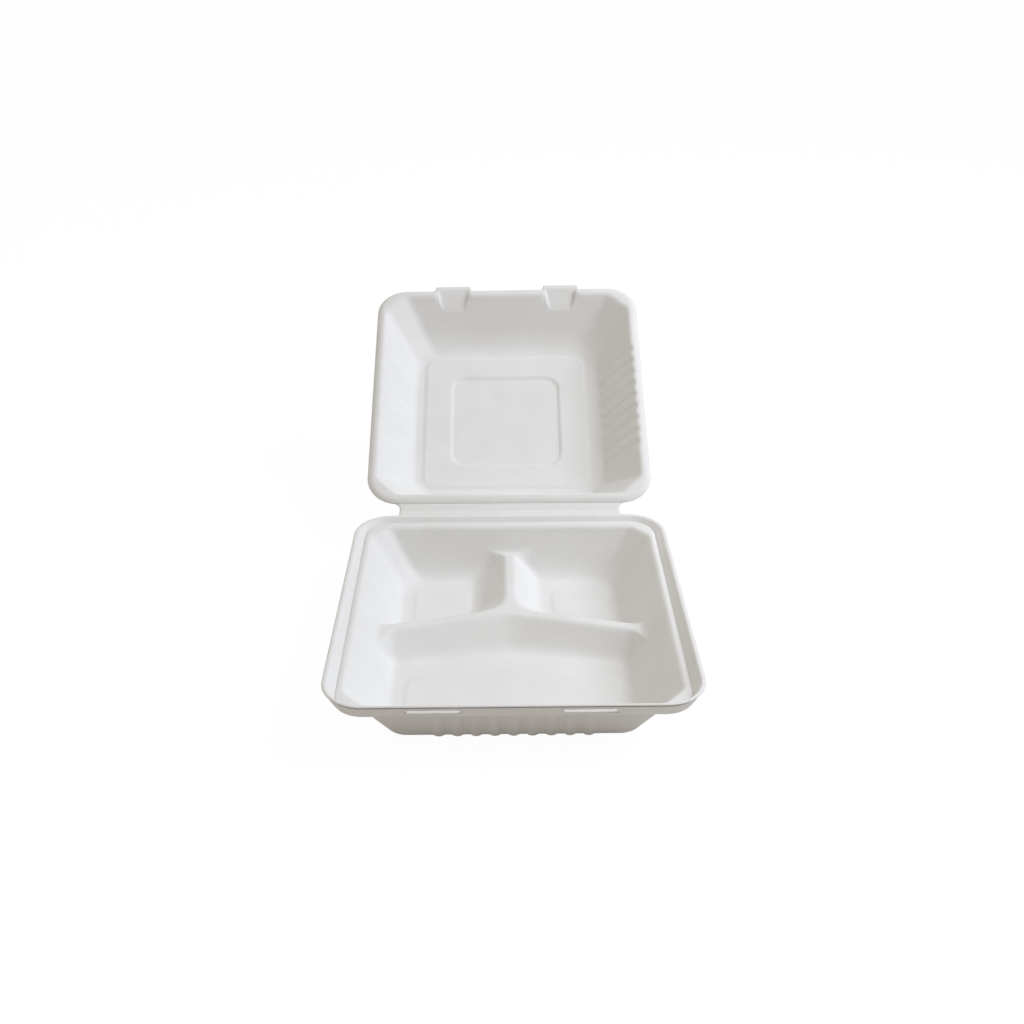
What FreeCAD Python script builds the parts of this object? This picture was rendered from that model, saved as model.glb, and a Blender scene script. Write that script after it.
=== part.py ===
"""Three-compartment hinged clamshell food container, open, moulded from one thin sheet.

Millimetres, +Z up, +Y towards the hinge. The origin is the middle of the face that the tray stands on.
"""

import FreeCAD, Part
import math
import os
import re

import Sketcher

os.makedirs("parts", exist_ok=True)

document = FreeCAD.newDocument("clamshell")

# Driving sizes

SIZES = {
    # Sheet, across a flat stretch and across a sloping wall
    "sheet": 1.8,
    "wall": 2.1,
    # Tray rim, seen from above
    "rim_width": 230.0,
    "rim_depth": 225.0,
    "rim_corner": 26.0,
    "rim_land": 2.0,
    "flare_side": 5.5,
    "flare_front": 2.4,
    "flare_back": 5.0,
    "flare_bend": 0.62,
    "flare_bend_rise": 0.3,
    "ledge_side": 4.5,
    "ledge_front": 6.2,
    "ledge_back": 6.5,
    # Tray heights
    "ledge_height": 38.5,
    "front_height": 46.0,
    # Tray walls: how far each leans out between floor and ledge, and its cut corners
    "run_side": 24.5,
    "run_front": 15.5,
    "run_back": 18.0,
    "cut_top": 13.0,
    "cut_floor": 8.0,
    "corner_round": 8.0,
    "root_round": 6.0,
    "floor_round": 5.0,
    # Divider
    "ridge_height": 20.5,
    "ridge_top": 7.0,
    "ridge_foot": 40.0,
    "fork_place": 21.0,
    "arm_slope": 0.24,
    "fork_spread": 0.93,
    "ridge_round": 2.0,
    # Raised floor panels
    "panel_margin": 10.0,
    "panel_rise": 0.8,
    "panel_corner": 8.0,
    # Flutes of the front wall
    "flute_radius": 5.8,
    "flute_stand": 1.3,
    "flute_pitch": 11.6,
    "flute_count": 9,
    "flute_groove": 28.9,
    # Slots for the tabs
    "slot_length": 32.0,
    "slot_height": 3.6,
    "slot_round": 1.2,
    "tab_spacing": 92.0,
    # Hinge
    "strip_width": 168.0,
    "strip_sheet": 1.0,
    "strip_splay": 6.0,
    "strip_step": 0.15,
    "hinge_gap": 0.3,
    "hinge_reach": 5.0,
    "lid_angle": 29.0,
    # Lid, seen open and flat
    "lid_width": 220.0,
    "lid_length": 214.5,
    "lid_corner": 24.0,
    "lid_gap": 0.5,
    "lid_depth": 36.0,
    "lid_inset": 2.5,
    "flange_width": 6.0,
    "flange_drop": 2.35,
    "flange_fall": 4.0,
    "shoulder_fall": 1.6,
    "shoulder_drop": 0.7,
    "lid_run_side": 24.0,
    "lid_run_near": 20.0,
    "lid_run_far": 30.0,
    "lid_cut_top": 16.0,
    "lid_cut_floor": 13.0,
    "lid_corner_round": 5.0,
    "lid_floor_round": 4.0,
    # Lid panels
    "frame_width": 136.5,
    "frame_near": 34.5,
    "frame_far": 165.5,
    "frame_rise": 1.2,
    "frame_corner": 8.0,
    "dish_width": 90.5,
    "dish_near": 55.5,
    "dish_far": 144.5,
    "dish_depth": 1.5,
    "dish_corner": 11.0,
    # Lid ribs
    "rib_pitch": 11.5,
    "rib_count": 9,
    "rib_middle": 100.9,
    # Tabs
    "tab_width": 30.0,
    "tab_reach": 4.5,
    "tab_sink": 0.3,
    "tab_sheet": 2.3,
    "tab_drop": 12.0,
    "tab_pocket": 10.0,
    "tab_taper": 4.0,
}

sizes = document.addObject("Spreadsheet::Sheet", "sizes")
for row, (alias, number) in enumerate(SIZES.items(), start=1):
    sizes.set(f"A{row}", alias)
    sizes.set(f"B{row}", str(number))
    sizes.setAlias(f"B{row}", alias)
document.recompute()


def size(alias):
    """The number that a cell of the sheet holds."""
    return float(sizes.get(alias))


def bound(formula):
    """The formula with each size named as its cell."""
    return re.sub(r"[a-z_]+", lambda word: f"sizes.{word[0]}" if word[0] in SIZES else word[0], formula)


def minus(formula):
    return f"-({formula})"


# Building blocks

LEVEL_SLACK = 0.01
STEEPEST_LEVEL = 0.25
START_REACH = 100.0


def place(body, height, tilt="0"):
    """Put a body at a height on the Z axis, tilted about X."""
    body.Placement = FreeCAD.Placement(FreeCAD.Vector(), FreeCAD.Rotation(FreeCAD.Vector(1, 0, 0), 1))
    body.setExpression("Placement.Rotation.Angle", bound(tilt))
    body.setExpression("Placement.Base.z", bound(height))


def outline(name, corners, height="0", tilt="0"):
    """A closed straight-sided outline, level or tilted about X, with each corner bound to the sheet."""
    sketch = document.addObject("Sketcher::SketchObject", name)
    count = len(corners)
    start = [
        START_REACH * FreeCAD.Vector(math.cos(turn), math.sin(turn), 0)
        for turn in [2 * math.pi * step / count for step in range(count)]
    ]
    for step in range(count):
        sketch.addGeometry(Part.LineSegment(start[step], start[(step + 1) % count]))
    for step in range(count):
        sketch.addConstraint(Sketcher.Constraint("Coincident", step, 2, (step + 1) % count, 1))
    for step, (across, along) in enumerate(corners):
        point = start[step]
        for kind, formula, number in (("DistanceX", across, point.x), ("DistanceY", along, point.y)):
            index = sketch.addConstraint(Sketcher.Constraint(kind, -1, 1, step, 1, number))
            sketch.setExpression(f"Constraints[{index}]", bound(formula))
    place(sketch, height, tilt)
    return sketch


def round_outline(name, sides, radius, height="0", tilt="0"):
    """A closed outline with four round corners; sides are its half width, front and back."""
    sketch = document.addObject("Sketcher::SketchObject", name)
    reach, bend = START_REACH, START_REACH / 5
    flat = reach - bend
    turns = [(flat, flat, 0), (-flat, flat, 90), (-flat, -flat, 180), (flat, -flat, 270)]
    for across, along, first in turns:
        circle = Part.Circle(FreeCAD.Vector(across, along, 0), FreeCAD.Vector(0, 0, 1), bend)
        sketch.addGeometry(Part.ArcOfCircle(circle, math.radians(first), math.radians(first + 90)))
    for step in range(4):
        start = sketch.Geometry[step].EndPoint
        end = sketch.Geometry[(step + 1) % 4].StartPoint
        sketch.addGeometry(Part.LineSegment(start, end))
    for step in range(4):
        sketch.addConstraint(Sketcher.Constraint("Tangent", step, 2, 4 + step, 1))
        sketch.addConstraint(Sketcher.Constraint("Tangent", 4 + step, 2, (step + 1) % 4, 1))
    for step in range(3):
        sketch.addConstraint(Sketcher.Constraint("Equal", step, step + 1))
    for step in (0, 2):
        sketch.addConstraint(Sketcher.Constraint("Horizontal", 4 + step))
        sketch.addConstraint(Sketcher.Constraint("Vertical", 5 + step))
    half, front, back = sides
    driven = [
        (Sketcher.Constraint("DistanceX", -1, 1, 7, 1, reach), half),
        (Sketcher.Constraint("DistanceX", -1, 1, 5, 1, -reach), minus(half)),
        (Sketcher.Constraint("DistanceY", -1, 1, 4, 1, reach), back),
        (Sketcher.Constraint("DistanceY", -1, 1, 6, 1, -reach), front),
        (Sketcher.Constraint("Radius", 0, bend), radius),
    ]
    for constraint, formula in driven:
        index = sketch.addConstraint(constraint)
        sketch.setExpression(f"Constraints[{index}]", bound(formula))
    place(sketch, height, tilt)
    return sketch


def rectangle(half, front, back):
    """Corners of a rectangle that reaches half to each side, and front and back along Y."""
    return [(half, front), (half, back), (minus(half), back), (minus(half), front)]


def octagon(half, front, back, cut):
    """Corners of a rectangle with its four corners cut off."""
    inner = f"{half} - ({cut})"
    near = f"{front} + ({cut})"
    far = f"{back} - ({cut})"
    return [
        (inner, front),
        (half, near),
        (half, far),
        (inner, back),
        (minus(inner), back),
        (minus(half), far),
        (minus(half), near),
        (minus(inner), front),
    ]


def loft(name, sections):
    """A straight-sided solid through outlines."""
    body = document.addObject("Part::Loft", name)
    body.Sections = sections
    body.Solid = True
    body.Ruled = True
    return body


def fuse(name, pieces):
    body = document.addObject("Part::MultiFuse", name)
    body.Shapes = pieces
    return body


def cut(name, base, tool):
    body = document.addObject("Part::Cut", name)
    body.Base = base
    body.Tool = tool
    return body


def rounded(name, base, radius_of):
    """The base with the edges rounded for which radius_of(start, end) gives a radius."""
    document.recompute()
    edges = []
    for index, edge in enumerate(base.Shape.Edges, start=1):
        radius = radius_of(edge.Vertexes[0].Point, edge.Vertexes[-1].Point)
        if radius:
            edges.append((index, radius, radius))
    body = document.addObject("Part::Fillet", name)
    body.Base = base
    body.Edges = edges
    document.recompute()
    return body


def standing(start, end):
    """Whether an edge climbs rather than lying level."""
    return abs(start.z - end.z) > STEEPEST_LEVEL * (start - end).Length


def level_at(start, end, height):
    """Whether an edge lies level at a height."""
    return max(abs(start.z - height), abs(end.z - height)) < LEVEL_SLACK


def corners_only(radius):
    """A rule that rounds the climbing edges."""
    return lambda start, end: radius if standing(start, end) else 0


def well_outline(name, well, height, outward="0"):
    """Outline of a drafted hollow at a height, or that far outside it."""
    share = f"(({well['mouth']} - ({height})) / ({well['mouth']} - ({well['floor']})))"
    corners = octagon(
        f"({well['side']} - {well['run_side']} * {share} + {outward})",
        f"({well['near']} + {well['run_near']} * {share} - ({outward}))",
        f"({well['far']} - {well['run_far']} * {share} + {outward})",
        f"({well['cut_mouth']} + ({well['cut_floor']} - {well['cut_mouth']}) * {share})",
    )
    return outline(name, corners, height)


def slab(name, corners, bottom, top, radius=0):
    """A flat plate between two heights, with its upright edges rounded."""
    body = document.addObject("Part::Extrusion", name)
    body.Base = outline(f"{name}_outline", corners, bottom)
    body.DirMode = "Custom"
    body.Dir = FreeCAD.Vector(0, 0, 1)
    body.Solid = True
    body.setExpression("LengthFwd", bound(f"{top} - ({bottom})"))
    return rounded(f"{name}_rounded", body, corners_only(radius)) if radius else body


def block(name, corner, extent):
    """A box by its lowest corner and its extent, each three formulas."""
    body = document.addObject("Part::Box", name)
    for axis, place_formula in zip("xyz", corner):
        body.setExpression(f"Placement.Base.{axis}", bound(place_formula))
    for side, formula in zip(("Length", "Width", "Height"), extent):
        body.setExpression(side, bound(formula))
    return body


def rod(name, radius, length, axis, start):
    """A cylinder along an axis from a start point of three formulas."""
    body = document.addObject("Part::Cylinder", name)
    body.Placement = FreeCAD.Placement(FreeCAD.Vector(), FreeCAD.Rotation(FreeCAD.Vector(0, 0, 1), axis))
    body.setExpression("Radius", bound(radius))
    body.setExpression("Height", bound(length))
    for letter, formula in zip("xyz", start):
        body.setExpression(f"Placement.Base.{letter}", bound(formula))
    return body


def hollow_rule(climbing, level, height):
    """A rule that rounds the climbing edges, and the level ones at a height."""

    def radius_of(start, end):
        if standing(start, end):
            return climbing
        return level if level_at(start, end, height) else 0

    return radius_of


# Tray: places that several pieces share

HALF = "rim_width / 2"
BACK = "rim_depth / 2"
GROOVE_SIDE = f"({HALF} - rim_land - flare_side)"
GROOVE_FRONT = f"(-({BACK}) + rim_land + flare_front)"
GROOVE_BACK = f"({BACK} - rim_land - flare_back)"
LIP_SIDE = f"({GROOVE_SIDE} - ledge_side)"
LIP_FRONT = f"({GROOVE_FRONT} + ledge_front)"
LIP_BACK = f"({GROOVE_BACK} - ledge_back)"
HINGE_HEIGHT = "(ledge_height + lid_gap + flange_drop - hinge_gap / 2)"
BACK_HEIGHT = f"({HINGE_HEIGHT} - hinge_gap / 2)"
CREST_MIDDLE = f"((front_height + {BACK_HEIGHT}) / 2)"
CREST_TILT = f"(atan(({BACK_HEIGHT} - front_height) / rim_depth))"
FLARE_MIDDLE = f"(ledge_height + flare_bend_rise * ({CREST_MIDDLE} - ledge_height))"
GROOVE_CORNER = "(rim_corner - rim_land - flare_side)"
MOUTH_CORNER = "rim_corner - rim_land"
RIM_INNER = (f"{HALF} - rim_land", f"-({BACK}) + rim_land", f"{BACK} - rim_land")
FLARE_TILT = f"(atan(flare_bend_rise * ({BACK_HEIGHT} - front_height) / rim_depth))"
FLOOR_SIDE = f"({LIP_SIDE} - run_side)"
FLOOR_FRONT = f"({LIP_FRONT} + run_front)"
FLOOR_BACK = f"({LIP_BACK} - run_back)"
TRAY_WELL = {
    "mouth": "ledge_height",
    "floor": "sheet",
    "side": LIP_SIDE,
    "near": LIP_FRONT,
    "far": LIP_BACK,
    "run_side": "run_side",
    "run_near": "run_front",
    "run_far": "run_back",
    "cut_mouth": "cut_top",
    "cut_floor": "cut_floor",
}
OVERCUT = "sheet"

# Tray walls and rim, as one solid block before it is hollowed

wall_form = rounded(
    "wall_form_rounded",
    loft(
        "wall_form",
        [
            well_outline("wall_form_foot", TRAY_WELL, "0", "wall"),
            well_outline("wall_form_top", TRAY_WELL, "ledge_height", "wall"),
        ],
    ),
    hollow_rule(size("corner_round") + size("wall"), size("floor_round"), 0.0),
)
rim_form = loft(
    "rim_form",
    [
        round_outline(
            "rim_under",
            (
                f"{GROOVE_SIDE} + rim_land / 2",
                f"{GROOVE_FRONT} - rim_land / 2",
                f"{GROOVE_BACK} + rim_land / 2",
            ),
            "rim_corner - (rim_land / 2 + flare_side)",
            "ledge_height - sheet",
        ),
        round_outline("rim_crest", (HALF, minus(BACK), BACK), "rim_corner", CREST_MIDDLE, CREST_TILT),
    ],
)
rim_hollow = loft(
    "rim_hollow",
    [
        round_outline("groove", (GROOVE_SIDE, GROOVE_FRONT, GROOVE_BACK), GROOVE_CORNER, "ledge_height"),
        round_outline(
            "flare_middle",
            (
                f"{GROOVE_SIDE} + flare_bend * flare_side",
                f"{GROOVE_FRONT} - flare_bend * flare_front",
                f"{GROOVE_BACK} + flare_bend * flare_back",
            ),
            f"{GROOVE_CORNER} + flare_bend * flare_side",
            FLARE_MIDDLE,
            FLARE_TILT,
        ),
        round_outline("rim_mouth", RIM_INNER, MOUTH_CORNER, CREST_MIDDLE, CREST_TILT),
        round_outline("rim_above", RIM_INNER, MOUTH_CORNER, f"{CREST_MIDDLE} + rim_land", CREST_TILT),
    ],
)

# Divider: a stem to the back wall and two arms that lean forward, hollow from below

ARM_LEAN = "sqrt(1 + arm_slope ^ 2)"
RIDGE_RISE = "(ridge_height - sheet)"
RIDGE_SLOPE = f"((ridge_foot - ridge_top) / 2 / {RIDGE_RISE})"
fork_lean = math.atan(size("arm_slope"))
DIRECTIONS = {
    "stem": FreeCAD.Vector(0, 1, 0),
    "right_arm": FreeCAD.Vector(math.cos(fork_lean), -math.sin(fork_lean), 0),
    "left_arm": FreeCAD.Vector(-math.cos(fork_lean), -math.sin(fork_lean), 0),
    "fork_face": FreeCAD.Vector(0, -1, 0),
}


def wedge(name, direction, levels, halves, lengths):
    """A ridge that runs from the fork: its two levels, and its half widths and lengths at each."""
    body = document.addObject("Part::Wedge", name)
    upward = FreeCAD.Vector(0, 0, 1)
    turn = FreeCAD.Rotation(upward.cross(direction), upward, direction)
    body.Placement = FreeCAD.Placement(FreeCAD.Vector(), turn)
    body.Ymin = body.Zmin = body.Z2min = 0
    driven = {
        "Xmin": minus(halves[0]),
        "Xmax": halves[0],
        "X2min": minus(halves[1]),
        "X2max": halves[1],
        "Zmax": lengths[0],
        "Z2max": lengths[1],
        "Ymax": f"{levels[1]} - ({levels[0]})",
        "Placement.Base.y": "fork_place",
        "Placement.Base.z": levels[0],
    }
    for target, formula in driven.items():
        body.setExpression(target, bound(formula))
    return body


def divider(name, levels, inset, reach):
    """The three ridges between two levels, that far inside the divider's skin."""
    halves = [f"(ridge_foot / 2 - {RIDGE_SLOPE} * ({level} - sheet) - {inset})" for level in levels]
    return [wedge(f"{name}_{arm}", DIRECTIONS[arm], levels, halves, (reach, reach)) for arm in ARMS]


def fork_face(name, levels):
    """The flat that joins the fronts of the two arms, over the middle of the divider."""
    halves = [f"(ridge_foot / 2 - {RIDGE_SLOPE} * ({level} - sheet))" for level in levels]
    corner = [f"(ridge_top / 2 + {half} * fork_spread)" for half in halves]
    front = [f"({half} * {ARM_LEAN} + {wide} * arm_slope)" for half, wide in zip(halves, corner)]
    return wedge(name, DIRECTIONS["fork_face"], levels, corner, front)


ARMS = ("stem", "right_arm", "left_arm")

# Inside of the tray, from the ledge down to the three floors


def compartment_rule(start, end):
    """Radius of each edge of the compartments: wall corners, divider roots, floors and the divider's top."""
    if standing(start, end):
        reaches_mouth = max(start.z, end.z) > size("ridge_height") + 1
        return size("corner_round") if reaches_mouth else size("root_round")
    if level_at(start, end, size("sheet")):
        return size("floor_round")
    if level_at(start, end, size("ridge_height")):
        return size("ridge_round")
    return 0


well = loft(
    "well",
    [
        well_outline("well_floor", TRAY_WELL, "sheet"),
        well_outline("well_mouth", TRAY_WELL, f"ledge_height + {OVERCUT}"),
    ],
)
RIDGE_LEVELS = ("sheet", "ridge_height")
arms = divider("ridge", RIDGE_LEVELS, "0", "rim_width")
ridges = fuse("ridges", [*arms, fork_face("fork_face", RIDGE_LEVELS)])

compartments = rounded("compartments_rounded", cut("compartments", well, ridges), compartment_rule)
channels = divider("channel", (f"-({OVERCUT})", "(ridge_height - sheet)"), "wall", "rim_width")

# Raised floor panels: a pad inside and the same hollow underneath

FOOT_FRONT = f"(fork_place - ridge_foot / 2 * {ARM_LEAN})"
FOOT_BACK = f"(fork_place + ridge_foot / 2 * {ARM_LEAN})"
FORK_HALF = "(ridge_top / 2 + ridge_foot / 2 * fork_spread)"
PANEL_SIDE = f"({FLOOR_SIDE} - panel_margin)"
PANEL_INNER = "(ridge_foot / 2 + panel_margin)"
PANEL_NEAR = f"({FLOOR_FRONT} + panel_margin)"
PANEL_FAR = f"({FLOOR_BACK} - panel_margin)"
FRONT_PANEL = [
    (PANEL_SIDE, PANEL_NEAR),
    (PANEL_SIDE, f"{FOOT_FRONT} - {PANEL_SIDE} * arm_slope - panel_margin"),
    (FORK_HALF, f"{FOOT_FRONT} - {FORK_HALF} * arm_slope - panel_margin"),
    (minus(FORK_HALF), f"{FOOT_FRONT} - {FORK_HALF} * arm_slope - panel_margin"),
    (minus(PANEL_SIDE), f"{FOOT_FRONT} - {PANEL_SIDE} * arm_slope - panel_margin"),
    (minus(PANEL_SIDE), PANEL_NEAR),
]
RIGHT_PANEL = [
    (PANEL_INNER, f"{FOOT_BACK} - {PANEL_INNER} * arm_slope + panel_margin"),
    (PANEL_SIDE, f"{FOOT_BACK} - {PANEL_SIDE} * arm_slope + panel_margin"),
    (PANEL_SIDE, PANEL_FAR),
    (PANEL_INNER, PANEL_FAR),
]
LEFT_PANEL = [(minus(across), along) for across, along in RIGHT_PANEL]
pads = []
recesses = []
for name, corners in (("front", FRONT_PANEL), ("right", RIGHT_PANEL), ("left", LEFT_PANEL)):
    pads.append(slab(f"{name}_pad", corners, "sheet / 2", "sheet + panel_rise", size("panel_corner")))
    recesses.append(slab(f"{name}_recess", corners, f"-({OVERCUT})", "panel_rise", size("panel_corner")))

# Flutes of the front wall: each a bulge outside and a groove inside, along the wall

FRONT_LEAN = math.atan(size("run_front") / (size("ledge_height") - size("sheet")))
FLUTE_AXIS = FreeCAD.Vector(0, -math.sin(FRONT_LEAN), math.cos(FRONT_LEAN))
LEAN = "(run_front / (ledge_height - sheet))"
AXIS_SINK = f"((flute_radius - flute_stand) * sqrt(1 + {LEAN} ^ 2))"


def flute_start(index, height):
    across = f"({index} - (flute_count - 1) / 2) * flute_pitch"
    along = f"{FLOOR_FRONT} - {LEAN} * ({height} - sheet) - wall + {AXIS_SINK}"
    return (across, along, height)


bulges = []
grooves = []
for index in range(int(size("flute_count"))):
    start = flute_start(index, f"-({OVERCUT})")
    bulges.append(rod(f"bulge_{index}", "flute_radius", "ledge_height", FLUTE_AXIS, start))
    start = flute_start(index, "2 * sheet")
    grooves.append(rod(f"groove_{index}", "flute_radius - sheet", "flute_groove", FLUTE_AXIS, start))

# Slots for the tabs, in the front of the rim

slots = [
    rounded(
        f"slot_{side}_rounded",
        block(
            f"slot_{side}",
            (
                f"{sign} * tab_spacing / 2 - slot_length / 2",
                f"-({BACK}) - {OVERCUT}",
                "ledge_height + tab_sink",
            ),
            ("slot_length", f"rim_land + flare_front + 2 * {OVERCUT}", "slot_height"),
        ),
        lambda start, end: size("slot_round") if abs(start.y - end.y) > size("rim_land") else 0,
    )
    for side, sign in (("right", 1), ("left", -1))
]

# Tray's half of the hinge strip, and the ground that trims what reaches below the feet

TRAY_STRIP = [
    ("strip_width / 2 + strip_splay", f"{BACK} - rim_land / 2"),
    ("strip_width / 2", f"{BACK} + hinge_reach - hinge_gap / 2"),
    ("-strip_width / 2", f"{BACK} + hinge_reach - hinge_gap / 2"),
    ("-strip_width / 2 - strip_splay", f"{BACK} - rim_land / 2"),
]
STRIP_TOP = f"({BACK_HEIGHT} - strip_step)"
tray_strip = slab("tray_strip", TRAY_STRIP, f"{STRIP_TOP} - strip_sheet", STRIP_TOP)
ground = block(
    "ground",
    ("-rim_width", "-rim_width", "-ledge_height"),
    ("2 * rim_width", "2 * rim_width", "ledge_height"),
)

tray_block = fuse("tray_block", [wall_form, rim_form, *bulges])
tray_hollows = fuse("tray_hollows", [rim_hollow, compartments, *channels, *grooves])
tray_shell = cut("tray_shell", tray_block, tray_hollows)
tray_whole = fuse("tray_whole", [tray_shell, *pads, tray_strip])
tray = cut("tray", tray_whole, fuse("tray_openings", [*recesses, *slots, ground]))

# Lid, in its own frame: open and flat, the hinge line along X through the origin, +Y away from it

LID_NEAR = "(hinge_reach + lid_inset)"
LID_FAR = f"({LID_NEAR} + lid_length)"
LID_HALF = "lid_width / 2"
FLANGE_EDGE = "(-hinge_gap / 2)"
FLANGE_TOP = f"(flange_drop + {FLANGE_EDGE})"
LID_FLOOR = f"({FLANGE_TOP} - lid_depth)"
LID_WELL = {
    "mouth": FLANGE_TOP,
    "floor": LID_FLOOR,
    "side": f"({LID_HALF} - flange_width)",
    "near": f"({LID_NEAR} + flange_width)",
    "far": f"({LID_FAR} - flange_width)",
    "run_side": "lid_run_side",
    "run_near": "lid_run_near",
    "run_far": "lid_run_far",
    "cut_mouth": "lid_cut_top",
    "cut_floor": "lid_cut_floor",
}


def flange_block(name, lowered):
    """The flange's convex top as a solid block, or that much lower."""
    rings = [("foot", "0", f"{FLANGE_EDGE} - sheet"), ("edge", "0", FLANGE_EDGE)]
    rings.append(("shoulder", "shoulder_fall", f"{FLANGE_TOP} - shoulder_drop"))
    rings.append(("crown", "flange_fall", FLANGE_TOP))
    sections = [
        round_outline(
            f"{name}_{ring}",
            (f"{LID_HALF} - {inward}", f"{LID_NEAR} + {inward}", f"{LID_FAR} - {inward}"),
            f"lid_corner - {inward}",
            f"{height} - ({lowered})",
        )
        for ring, inward, height in rings
    ]
    return loft(name, sections)


lid_form = rounded(
    "lid_form_rounded",
    loft(
        "lid_form",
        [
            well_outline("lid_form_foot", LID_WELL, f"{LID_FLOOR} - sheet", "wall"),
            well_outline("lid_form_top", LID_WELL, f"{FLANGE_TOP} - sheet / 2", "wall"),
        ],
    ),
    hollow_rule(
        size("lid_corner_round") + size("wall"),
        size("lid_floor_round"),
        size("flange_drop") - size("hinge_gap") / 2 - size("lid_depth") - size("sheet"),
    ),
)
flange_top = flange_block("flange_top", "0")
flange = cut("flange", flange_top, flange_block("flange_under", "sheet"))
lid_well = rounded(
    "lid_well_rounded",
    loft(
        "lid_well",
        [
            well_outline("lid_well_floor", LID_WELL, LID_FLOOR),
            well_outline("lid_well_mouth", LID_WELL, f"{FLANGE_TOP} + {OVERCUT}"),
        ],
    ),
    hollow_rule(
        size("lid_corner_round"),
        size("lid_floor_round"),
        size("flange_drop") - size("hinge_gap") / 2 - size("lid_depth"),
    ),
)

# Lid panels: a raised frame inside, with a dish sunk in it


def lid_panel(name, width, near, far, bottom, top, radius):
    corners = rectangle(f"{width} / 2", f"{LID_NEAR} + {near}", f"{LID_NEAR} + {far}")
    return slab(name, corners, bottom, top, size(radius))


FRAME = ("frame_width", "frame_near", "frame_far")
DISH = ("dish_width", "dish_near", "dish_far")
FRAME_TOP = f"({LID_FLOOR} + frame_rise)"
frame_pad = lid_panel("frame_pad", *FRAME, f"{LID_FLOOR} - sheet / 2", FRAME_TOP, "frame_corner")
frame_recess = lid_panel(
    "frame_recess", *FRAME, f"{LID_FLOOR} - sheet - {OVERCUT}", f"{FRAME_TOP} - sheet", "frame_corner"
)
DISH_FLOOR = f"({FRAME_TOP} - dish_depth)"
dish_pad = slab(
    "dish_pad",
    rectangle("dish_width / 2 + wall", f"{LID_NEAR} + dish_near - wall", f"{LID_NEAR} + dish_far + wall"),
    f"{DISH_FLOOR} - sheet",
    f"{FRAME_TOP} - sheet / 2",
    size("dish_corner") + size("wall"),
)
dish = lid_panel("dish", *DISH, DISH_FLOOR, f"{FRAME_TOP} + {OVERCUT}", "dish_corner")

# Lid ribs: channels pressed outward in both side walls

LID_SIDE_LEAN = "(lid_run_side / lid_depth)"
side_lean = math.atan(size("lid_run_side") / size("lid_depth"))
RIB_SINK = f"((flute_radius - flute_stand) * sqrt(1 + {LID_SIDE_LEAN} ^ 2))"


def rib_start(side, index, height):
    drawn_in = f"{RIB_SINK} + {LID_SIDE_LEAN} * ({FLANGE_TOP} - ({height}))"
    across = f"{side} * ({LID_HALF} - flange_width + wall - ({drawn_in}))"
    along = f"{LID_NEAR} + rib_middle + ({index} - (rib_count - 1) / 2) * rib_pitch"
    return (across, along, height)


ribs = []
rib_grooves = []
for side, word in ((1, "right"), (-1, "left")):
    axis = FreeCAD.Vector(side * math.sin(side_lean), 0, math.cos(side_lean))
    for index in range(int(size("rib_count"))):
        start = rib_start(side, index, f"{LID_FLOOR} - 2 * sheet")
        length = f"(lid_depth + 3 * sheet) * sqrt(1 + {LID_SIDE_LEAN} ^ 2)"
        ribs.append(rod(f"rib_{word}_{index}", "flute_radius", length, axis, start))
        start = rib_start(side, index, f"{LID_FLOOR} + sheet")
        length = f"(lid_depth + sheet) * sqrt(1 + {LID_SIDE_LEAN} ^ 2)"
        rib_grooves.append(rod(f"rib_groove_{word}_{index}", "flute_radius - sheet", length, axis, start))

lid_sky = block(
    "lid_sky",
    ("-rim_width", "-rim_width", FLANGE_EDGE),
    ("2 * rim_width", "4 * rim_width", "lid_depth"),
)
above_flange = cut("above_flange", lid_sky, flange_top)
trimmed_ribs = cut("trimmed_ribs", fuse("ribs", ribs), above_flange)

# Tabs: hollow hooks pressed out of the far wall, which enter the tray's slots

TAB_TIP = f"({LID_FAR} + tab_reach)"
TAB_TOP = f"({FLANGE_TOP} - tab_sink)"
TAB_ROOT = f"({LID_FAR} - flange_width - wall)"


def tab_wedge(name, sign, levels, halves, fars):
    """A block that widens upward, from the far wall out to a far edge at each of two levels."""
    body = document.addObject("Part::Wedge", name)
    upward = FreeCAD.Vector(0, 0, 1)
    outward = FreeCAD.Vector(0, 1, 0)
    turn = FreeCAD.Rotation(upward.cross(outward), upward, outward)
    body.Placement = FreeCAD.Placement(FreeCAD.Vector(), turn)
    body.Ymin = body.Zmin = body.Z2min = 0
    root = f"({TAB_ROOT} - lid_run_far * ({FLANGE_TOP} - {levels[0]}) / lid_depth)"
    driven = {
        "Xmin": minus(halves[0]),
        "Xmax": halves[0],
        "X2min": minus(halves[1]),
        "X2max": halves[1],
        "Zmax": f"{fars[0]} - {root}",
        "Z2max": f"{fars[1]} - {root}",
        "Ymax": f"{levels[1]} - {levels[0]}",
        "Placement.Base.x": f"{sign} * tab_spacing / 2",
        "Placement.Base.y": root,
        "Placement.Base.z": levels[0],
    }
    for target, formula in driven.items():
        body.setExpression(target, bound(formula))
    return body


def wall_place(height):
    """How far along Y the inside of the far wall is at a height."""
    return f"({LID_FAR} - flange_width - lid_run_far * ({FLANGE_TOP} - {height}) / lid_depth)"


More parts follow.
